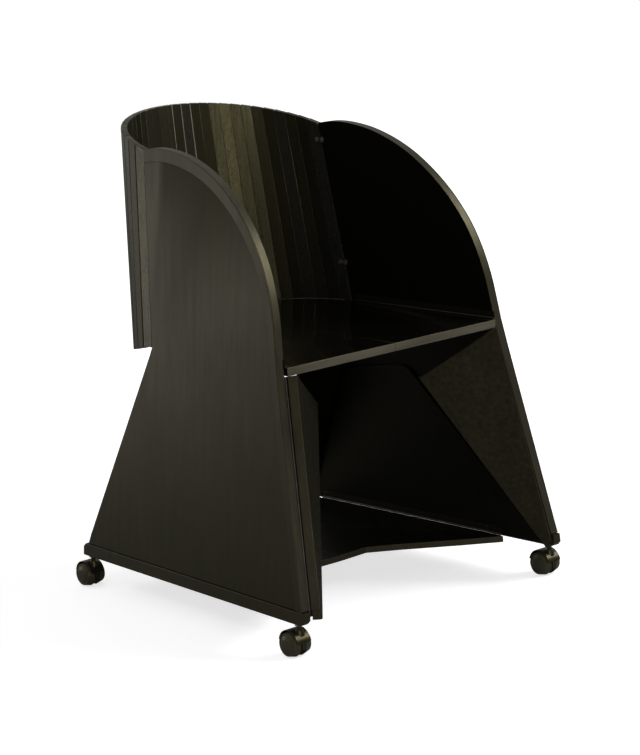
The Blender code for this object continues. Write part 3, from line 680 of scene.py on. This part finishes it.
# The back plates
# Two small dark steel plates a side, each with two round headed screws, one into the side and one
# into the first slat, so that the back is carried at the arms.
plate_look = stained("plate_steel", (0.012, 0.012, 0.010), (0.024, 0.023, 0.019), 0.4, 0.5, (60, 60, 60), 0.02)
head_look = bare_steel("screw_head_steel", (0.42, 0.40, 0.35), (0.55, 0.53, 0.47), 0.42)
PLATE_HALF = (0.0108, 0.006)
PLATE_THICK = 0.0008
PLATE_RISES = (("top", 0.290), ("low", 0.070))
HEAD_R = 0.004
HEAD_HIGH = 0.0018
HEAD_OFF = 0.0065
bpy.ops.mesh.primitive_cylinder_add(vertices=24, radius=HEAD_R, depth=HEAD_HIGH)
pattern_head = bpy.context.object
pattern_head.name = "screw_pattern"
bpy.ops.object.mode_set(mode="EDIT")
bpy.ops.mesh.select_mode(type="FACE")
bpy.ops.mesh.select_all(action="DESELECT")
bpy.ops.object.mode_set(mode="OBJECT")
max(pattern_head.data.polygons, key=lambda face: face.center.z).select = True
bpy.ops.object.mode_set(mode="EDIT")
bpy.ops.mesh.bevel(offset=0.0009, segments=3, affect="EDGES")
bpy.ops.mesh.inset(thickness=0.0009)
bpy.ops.mesh.extrude_region_move(TRANSFORM_OT_translate={"value": (0, 0, -0.0007)})
bpy.ops.object.mode_set(mode="OBJECT")
for side, word in SIDES:
    inward = inward_of(side)
    for spot_name, rise in PLATE_RISES:
        share = (SEAT_TOP + rise - ENDS[0][1]) / (ENDS[1][1] - ENDS[0][1])
        depth = ENDS[0][0] + (ENDS[1][0] - ENDS[0][0]) * share
        seam = on_side(side, depth, SEAT_TOP + rise) + inward * PLATE_THICK
        flat = (Vector((0, 1, 0)) - inward * inward.y).normalized()
        tall = flat.cross(inward).normalized()
        plate = block("back_plate_" + spot_name + "_" + word, lambda u, v, w: (
            seam + flat * PLATE_HALF[0] * (2 * u - 1) + tall * PLATE_HALF[1] * (2 * v - 1)
            + inward * PLATE_THICK * w))
        ease(plate, 0.0002)
        heads = []
        for off in (-HEAD_OFF, HEAD_OFF):
            head = pattern_head.copy()
            head.data = pattern_head.data.copy()
            bpy.context.scene.collection.objects.link(head)
            turn = inward.to_track_quat("Z", "Y").to_matrix().to_4x4()
            head.data.transform(Matrix.Translation(seam + flat * off + inward * 0.0010) @ turn)
            heads.append(head)
        only(plate)
        for head in heads:
            head.select_set(True)
        bpy.ops.object.join()
        bpy.ops.object.shade_smooth_by_angle(angle=math.radians(35))
        dressed(plate, plate_look, "side_" + word, "steel", "back_plate_%s_%s" % (spot_name, word))
        stain_faces(plate, head_look, lambda face: (face.center - seam).dot(inward) > PLATE_THICK + 0.00005)
bpy.data.objects.remove(pattern_head, do_unlink=True)

# The castors
# Four swivelling twin wheel castors moulded in olive grey plastic: two wheels with stepped hub caps
# on one axle, a hood over them with the web between, and a steel stem up into the foot rail.
WHEEL_R = 0.0215
WHEEL_WIDE = 0.0125
WHEEL_OFF = 0.0115
HUB_STEPS = ((0.0012, 0.0006), (0.0004, -0.0010), (0.0012, 0.0), (0.0065, 0.0026), (0.0006, 0.0), (0.0030, 0.0004))
AXLE_R = 0.003
HOOD_R = 0.0239
HOOD_WALL = 0.0014
WEB_THICK = 0.009
WEB_FOOT = -0.0072
BOSS_R = (0.0085, 0.0065)
BOSS_HIGH = 0.010
TRAIL = 0.012
RAIL_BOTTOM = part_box("rail_left")[0].z
STEM_R = 0.004
STEM_FOOT = 0.012
COLLAR_R = 0.0068
COLLAR_HIGH = 0.0022
STEMS_AT = (("front", -0.0530), ("rear", 0.5330))
castor_look = stained("castor_plastic", (0.030, 0.029, 0.020), (0.046, 0.044, 0.031),
                      0.38, 0.55, (30, 30, 30), 0.03)
# The hood takes a darker copy of the castor plastic: painted shade for its shadowed side.
hood_shade_look = stained("castor_hood_plastic", (0.008, 0.0078, 0.006), (0.014, 0.0135, 0.010),
                    0.34, 0.55, (30, 30, 30), 0.03)
stem_look = bare_steel("castor_stem_steel", (0.30, 0.29, 0.25), (0.42, 0.40, 0.35), 0.25)


def pick_faces(piece, chosen):
    """Opens a piece in edit mode with only the chosen faces selected."""
    only(piece)
    bpy.ops.object.mode_set(mode="EDIT")
    bpy.ops.mesh.select_mode(type="FACE")
    bpy.ops.mesh.select_all(action="DESELECT")
    bpy.ops.object.mode_set(mode="OBJECT")
    for face in piece.data.polygons:
        face.select = chosen(face)
    bpy.ops.object.mode_set(mode="EDIT")


def settle(piece):
    """Moves a piece's place and turn into its mesh."""
    only(piece)
    bpy.ops.object.transform_apply(location=True, rotation=True, scale=True)
    return piece


bpy.ops.mesh.primitive_cylinder_add(vertices=48, radius=WHEEL_R, depth=WHEEL_WIDE, location=(WHEEL_OFF, 0, 0),
                                    rotation=(0, math.pi / 2, 0))
wheel = settle(bpy.context.object)
pick_faces(wheel, lambda face: face.normal.x > 0.9)
bpy.ops.transform.resize(value=(1, 0.86, 0.86))
for rim, rise in HUB_STEPS:
    bpy.ops.mesh.inset(thickness=rim)
    if rise:
        bpy.ops.transform.translate(value=(rise, 0, 0))
bpy.ops.object.mode_set(mode="OBJECT")
ease(wheel, 0.0005, 40)
twin = wheel.modifiers.new("twin", "MIRROR")
twin.use_mirror_merge = False
bpy.ops.object.modifier_apply(modifier="twin")
bpy.ops.mesh.primitive_cylinder_add(vertices=24, radius=AXLE_R, depth=2 * WHEEL_OFF, rotation=(0, math.pi / 2, 0))
axle = settle(bpy.context.object)
only(wheel)
axle.select_set(True)
bpy.ops.object.join()
wheel.name = "wheel_pattern"

bpy.ops.mesh.primitive_cylinder_add(vertices=72, radius=HOOD_R, depth=2 * WHEEL_OFF + WHEEL_WIDE - 0.007,
                                    end_fill_type="NOTHING", rotation=(0, math.pi / 2, 0))
hood = settle(bpy.context.object)
hood.name = "hood_pattern"
bpy.ops.object.mode_set(mode="EDIT")
bpy.ops.mesh.select_all(action="SELECT")
bpy.ops.mesh.bisect(plane_co=(0, 0, HOOD_R * math.sin(math.radians(12))), plane_no=(0, 0, 1), clear_inner=True)
bpy.ops.object.mode_set(mode="OBJECT")
wall = hood.modifiers.new("wall", "SOLIDIFY")
wall.thickness = HOOD_WALL
wall.offset = -1
bpy.ops.object.modifier_apply(modifier="wall")
ease(hood, 0.0004, 40)
bpy.ops.mesh.primitive_cylinder_add(vertices=72, radius=HOOD_R - HOOD_WALL / 2, depth=WEB_THICK,
                                    rotation=(0, math.pi / 2, 0))
web = settle(bpy.context.object)
bpy.ops.object.mode_set(mode="EDIT")
bpy.ops.mesh.select_all(action="SELECT")
bpy.ops.mesh.bisect(plane_co=(0, 0, WEB_FOOT), plane_no=(0, 0, 1), clear_inner=True, use_fill=True)
bpy.ops.object.mode_set(mode="OBJECT")
ease(web, 0.0005, 40)
stem_top = RAIL_BOTTOM - 0.0003 - WHEEL_R
bpy.ops.mesh.primitive_cone_add(vertices=32, radius1=BOSS_R[0], radius2=BOSS_R[1], depth=BOSS_HIGH,
                                location=(0, -TRAIL, HOOD_R - 0.0045))
boss = settle(bpy.context.object)
ease(boss, 0.0005, 40)
bpy.ops.mesh.primitive_cylinder_add(vertices=32, radius=STEM_R, depth=stem_top - STEM_FOOT,
                                    location=(0, -TRAIL, (stem_top + STEM_FOOT) / 2))
stem = settle(bpy.context.object)
bpy.ops.object.shade_smooth_by_angle(angle=math.radians(35))
bpy.ops.mesh.primitive_cylinder_add(vertices=32, radius=COLLAR_R, depth=COLLAR_HIGH,
                                    location=(0, -TRAIL, stem_top - COLLAR_HIGH / 2))
collar = settle(bpy.context.object)
ease(collar, 0.0004, 40)
only(hood)
for bit in (web, boss, stem, collar):
    bit.select_set(True)
bpy.ops.object.join()

for side, word in SIDES:
    for place_name, stem_y in STEMS_AT:
        half = half_width(stem_y, RAIL_BOTTOM) + PLY / 2
        centre = Vector((side * half, SEAT_FRONT + stem_y + TRAIL, WHEEL_R))
        name = "castor_%s_%s" % (place_name, word)
        for pattern, label, look, body, node in (
            (wheel, "_twin_wheels", castor_look, "wheels_%s_%s" % (place_name, word), name + "_wheels"),
            (hood, "_hood", hood_shade_look, name, name + "_body"),
        ):
            made = pattern.copy()
            made.data = pattern.data.copy()
            made.name = name + label
            bpy.context.scene.collection.objects.link(made)
            made.data.transform(Matrix.Translation(centre))
            dressed(made, look, body, "castor", node)
            if pattern == hood:
                stem_foot = centre + Vector((0, -TRAIL, HOOD_R + 0.0006))
                stain_faces(made, stem_look, lambda face: face.center.z > stem_foot.z
                            and (face.center - stem_foot).xy.length < COLLAR_R + 0.0002)
bpy.data.objects.remove(wheel, do_unlink=True)
bpy.data.objects.remove(hood, do_unlink=True)
